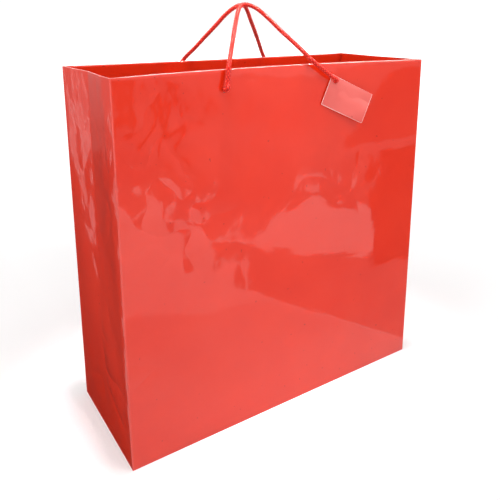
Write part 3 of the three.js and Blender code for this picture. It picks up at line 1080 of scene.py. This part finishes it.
FLOOR_REACH = 12
FLOOR_FADE = 2.5  # how far from the bag the floor is as bright as the horizon
HORIZON = 1.05
DOME_LEFT_TO_RIGHT = (0.30, 0.52)  # brightness above the horizon
DOME_HORIZON = (0.16, 0.34)  # sines of the heights between which the white horizon fades


def make_floor():
    """A white floor that glows, faintly near the bag and fully further out, painted light that
    fades into the bright horizon around the studio
    """
    n = Nodes("studio_floor")
    here = n.place()
    grain = n.noise(here, 300, 3)
    n.join(n.ramp(grain, [(0.3, (0.77, 0.77, 0.77)), (0.7, (0.79, 0.79, 0.79))]),
           n.shader.inputs["Base Color"])
    n.join(n.bump(grain, 0.0001, 0.2), n.shader.inputs["Normal"])
    n.set("Roughness", 0.6)
    n.set("Specular IOR Level", 0.1)
    away = n.add("VectorMath", operation="LENGTH")
    n.join(here, away.inputs[0])
    # Painted light: the floor glows, weakly near the bag and fully far out
    n.join(n.ramp(n.maths("MULTIPLY", away.outputs["Value"], 1 / FLOOR_FADE),
                  [(0.1, (0.20, 0.20, 0.20)), (1.0, (1, 1, 1))]),
           n.shader.inputs["Emission Color"])
    n.set("Emission Strength", 1.0)
    r = FLOOR_REACH
    floor = make_piece("studio_floor", [(-r, -r, 0), (r, -r, 0), (r, r, 0), (-r, r, 0)],
                       [(0, 1, 2, 3)], [n.material], smooth=False)
    floor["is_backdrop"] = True


def area_light(name, location, target, size, power, spread=180):
    """A soft box at a place, pointed at another, that the camera doesn't see"""
    light = bpy.data.lights.new(name, "AREA")
    light.shape = "RECTANGLE"
    light.size, light.size_y = size
    light.energy = power
    light.spread = math.radians(spread)
    lamp = bpy.data.objects.new(name, light)
    bpy.context.scene.collection.objects.link(lamp)
    lamp.location = location
    lamp.visible_camera = False
    lamp.rotation_euler = (Vector(target) - Vector(location)).to_track_quat("-Z", "Y").to_euler()


def make_world():
    """A soft dome: white at the horizon, dimmer above it, and dimmer again to the left"""
    world = bpy.data.worlds.new("studio")
    world.use_nodes = True
    tree = world.node_tree
    direction = tree.nodes.new("ShaderNodeSeparateXYZ")
    tree.links.new(tree.nodes.new("ShaderNodeTexCoord").outputs["Generated"], direction.inputs[0])

    def spread(value, low, high, to_low, to_high):
        node = tree.nodes.new("ShaderNodeMapRange")
        for name, number in (("From Min", low), ("From Max", high), ("To Min", to_low),
                             ("To Max", to_high)):
            node.inputs[name].default_value = number
        tree.links.new(value, node.inputs["Value"])
        return node.outputs["Result"]

    sideways = spread(direction.outputs["X"], -1, 1, *DOME_LEFT_TO_RIGHT)
    rising = spread(direction.outputs["Z"], *DOME_HORIZON, 0, 1)
    level = tree.nodes.new("ShaderNodeMix")
    level.inputs[2].default_value = HORIZON
    tree.links.new(rising, level.inputs[0])
    tree.links.new(sideways, level.inputs[3])
    tree.nodes["Background"].inputs["Color"].default_value = (1, 1, 1, 1)
    tree.links.new(level.outputs[0], tree.nodes["Background"].inputs["Strength"])
    bpy.context.scene.world = world


def reflected_card(name, corners, stops, scale, drift=(0, 0, 0)):
    """A card that only reflections see, as a studio's flags and windows shape a gloss.
    A noise of the given scale, plus a drift along each axis, runs through the stops."""
    n = Nodes(name)
    slide = n.add("VectorMath", operation="DOT_PRODUCT")
    n.join(n.place(), slide.inputs[0])
    slide.inputs[1].default_value = drift
    patches = n.maths("ADD", n.noise(n.place(), scale, 2, 0.4), slide.outputs["Value"])
    glow = n.add("Emission")
    n.join(n.ramp(patches, [(at, (level, level, level)) for at, level in stops]),
           glow.inputs["Color"])
    n.join(glow.outputs[0], n.tree.nodes["Material Output"].inputs["Surface"])
    card = make_piece(name, corners, [tuple(range(len(corners)))], [n.material], smooth=False)
    card.visible_camera = False
    card.visible_diffuse = False
    card.visible_transmission = False
    card.visible_shadow = False
    card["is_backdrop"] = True


CARD_LIFT = 1 * MM  # above the floor


def standing(y, corners):
    return [(x, y, z) for x, z in corners]


def lying(corners):
    return [(x, y, CARD_LIFT) for x, y in corners]


BESIDE_LEFT = -WIDTH / 2 - 0.3 * MM  # x just outside the left gusset
BEFORE_FRONT = -DEPTH / 2 - 0.3 * MM  # y just outside the front panel
LEFT_WALL_Y = 2.2
LEFT_WALL_HEIGHT = 1.1
ROOM_Y = -0.85  # of the dim room in front, and just nearer, the things that stand out from it
ROOM_THINGS_Y = -0.84
RIGHT_Y = -0.30

make_floor()
make_world()
area_light("key", (1.2, -1.6, 1.7), (0, 0, 0.30), (0.3, 0.3), 13)
area_light("top", (0.1, -0.4, 2.5), (0, 0, 0), (1.6, 1.6), 20)
area_light("fill", (-0.95, -0.1, 1.15), (-0.25, 0, 0.5), (0.6, 0.6), 6)
area_light("mouth", (0, -0.02, 1.5), (0, 0, 0.3), (0.40, 0.12), 1.3, 24)

# Left of the bag: a dark floor and wall beside it, and a paler haze further out
reflected_card(
    "left_floor_card",
    lying([(BESIDE_LEFT, BEFORE_FRONT), (BESIDE_LEFT, LEFT_WALL_Y), (-1.12, LEFT_WALL_Y),
           (-0.408, 0.3)]),
    [(0.45, 0.015), (0.9, 0.05), (1.1, 0.12)], 1.2, (0, 0.3, 0))
reflected_card(
    "left_haze_floor",
    lying([(-1.2, BEFORE_FRONT), (BESIDE_LEFT - 1 * MM, BEFORE_FRONT), (-0.409, 0.3),
           (-1.13, LEFT_WALL_Y), (-3.0, 1.2)]),
    [(0.3, 0.30), (0.7, 0.50)], 1.2)
reflected_card(
    "left_haze_card",
    [(-3.0, 1.2, 0), (-1.13, LEFT_WALL_Y, 0), (-1.31, LEFT_WALL_Y, LEFT_WALL_HEIGHT),
     (-3.0, 1.2, LEFT_WALL_HEIGHT)],
    [(0.4, 0.25), (0.8, 0.45)], 1.5)
reflected_card(
    "left_wall_card",
    standing(LEFT_WALL_Y, [(-1.12, 0), (-0.26, 0), (-0.26, LEFT_WALL_HEIGHT),
                           (-1.3, LEFT_WALL_HEIGHT)]),
    [(0.4, 0.08), (0.8, 0.22), (1.2, 0.4)], 1.5, (0, 0, 0.8))

# In front: a dim room with a window and a darker figure, the pale floor and a band across it
reflected_card(
    "room_card",
    standing(ROOM_Y, [(0.25, 0.14), (0.36, 0.13), (0.42, 0.05), (0.45, -0.01), (0.50, 0.03),
                      (0.53, 0.075), (0.62, 0.08), (0.71, 0.03), (0.80, 0), (1.4, 0),
                      (1.4, 0.49), (0.25, 0.49)]),
    [(0.38, 0.42), (0.50, 0.54), (0.60, 0.62)], 5)
reflected_card(
    "window_card",
    standing(ROOM_THINGS_Y, [(0.55, 0.14), (0.60, 0.105), (0.64, 0.095), (0.64, 0.16),
                             (0.62, 0.19), (0.57, 0.20)]),
    [(0.36, 0.6), (0.46, 1.25)], 14)
reflected_card(
    "figure_card",
    standing(ROOM_THINGS_Y, [(0.405, 0.20), (0.44, 0.25), (0.475, 0.31), (0.52, 0.43),
                             (0.49, 0.43), (0.445, 0.32), (0.395, 0.25)]),
    [(0.3, 0.10), (0.7, 0.18)], 9)
reflected_card(
    "near_floor_card",
    lying([(-0.45, -0.44), (0.19, -0.44), (0.28, BEFORE_FRONT), (-0.45, BEFORE_FRONT)]),
    [(0.35, 0.76), (0.65, 0.98)], 3)
reflected_card(
    "band_card", lying([(0.20, -0.51), (0.29, -0.04), (0.53, -0.32), (0.43, -0.83)]),
    [(0.3, 0.42), (0.7, 0.52)], 3)

# At the right: two dark walls, one above the other
reflected_card(
    "right_card", standing(RIGHT_Y, [(0.335, 0.07), (0.60, 0.05), (0.60, 0.31), (0.301, 0.321)]),
    [(0.3, 0.10), (0.7, 0.16)], 3)
reflected_card(
    "high_right_card",
    standing(RIGHT_Y, [(0.268, 0.34), (0.60, 0.34), (0.60, 0.47), (0.303, 0.475)]),
    [(0.3, 0.26), (0.7, 0.32)], 3)
bpy.context.scene.view_settings.view_transform = "Standard"


# ---- The model's size

low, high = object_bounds()
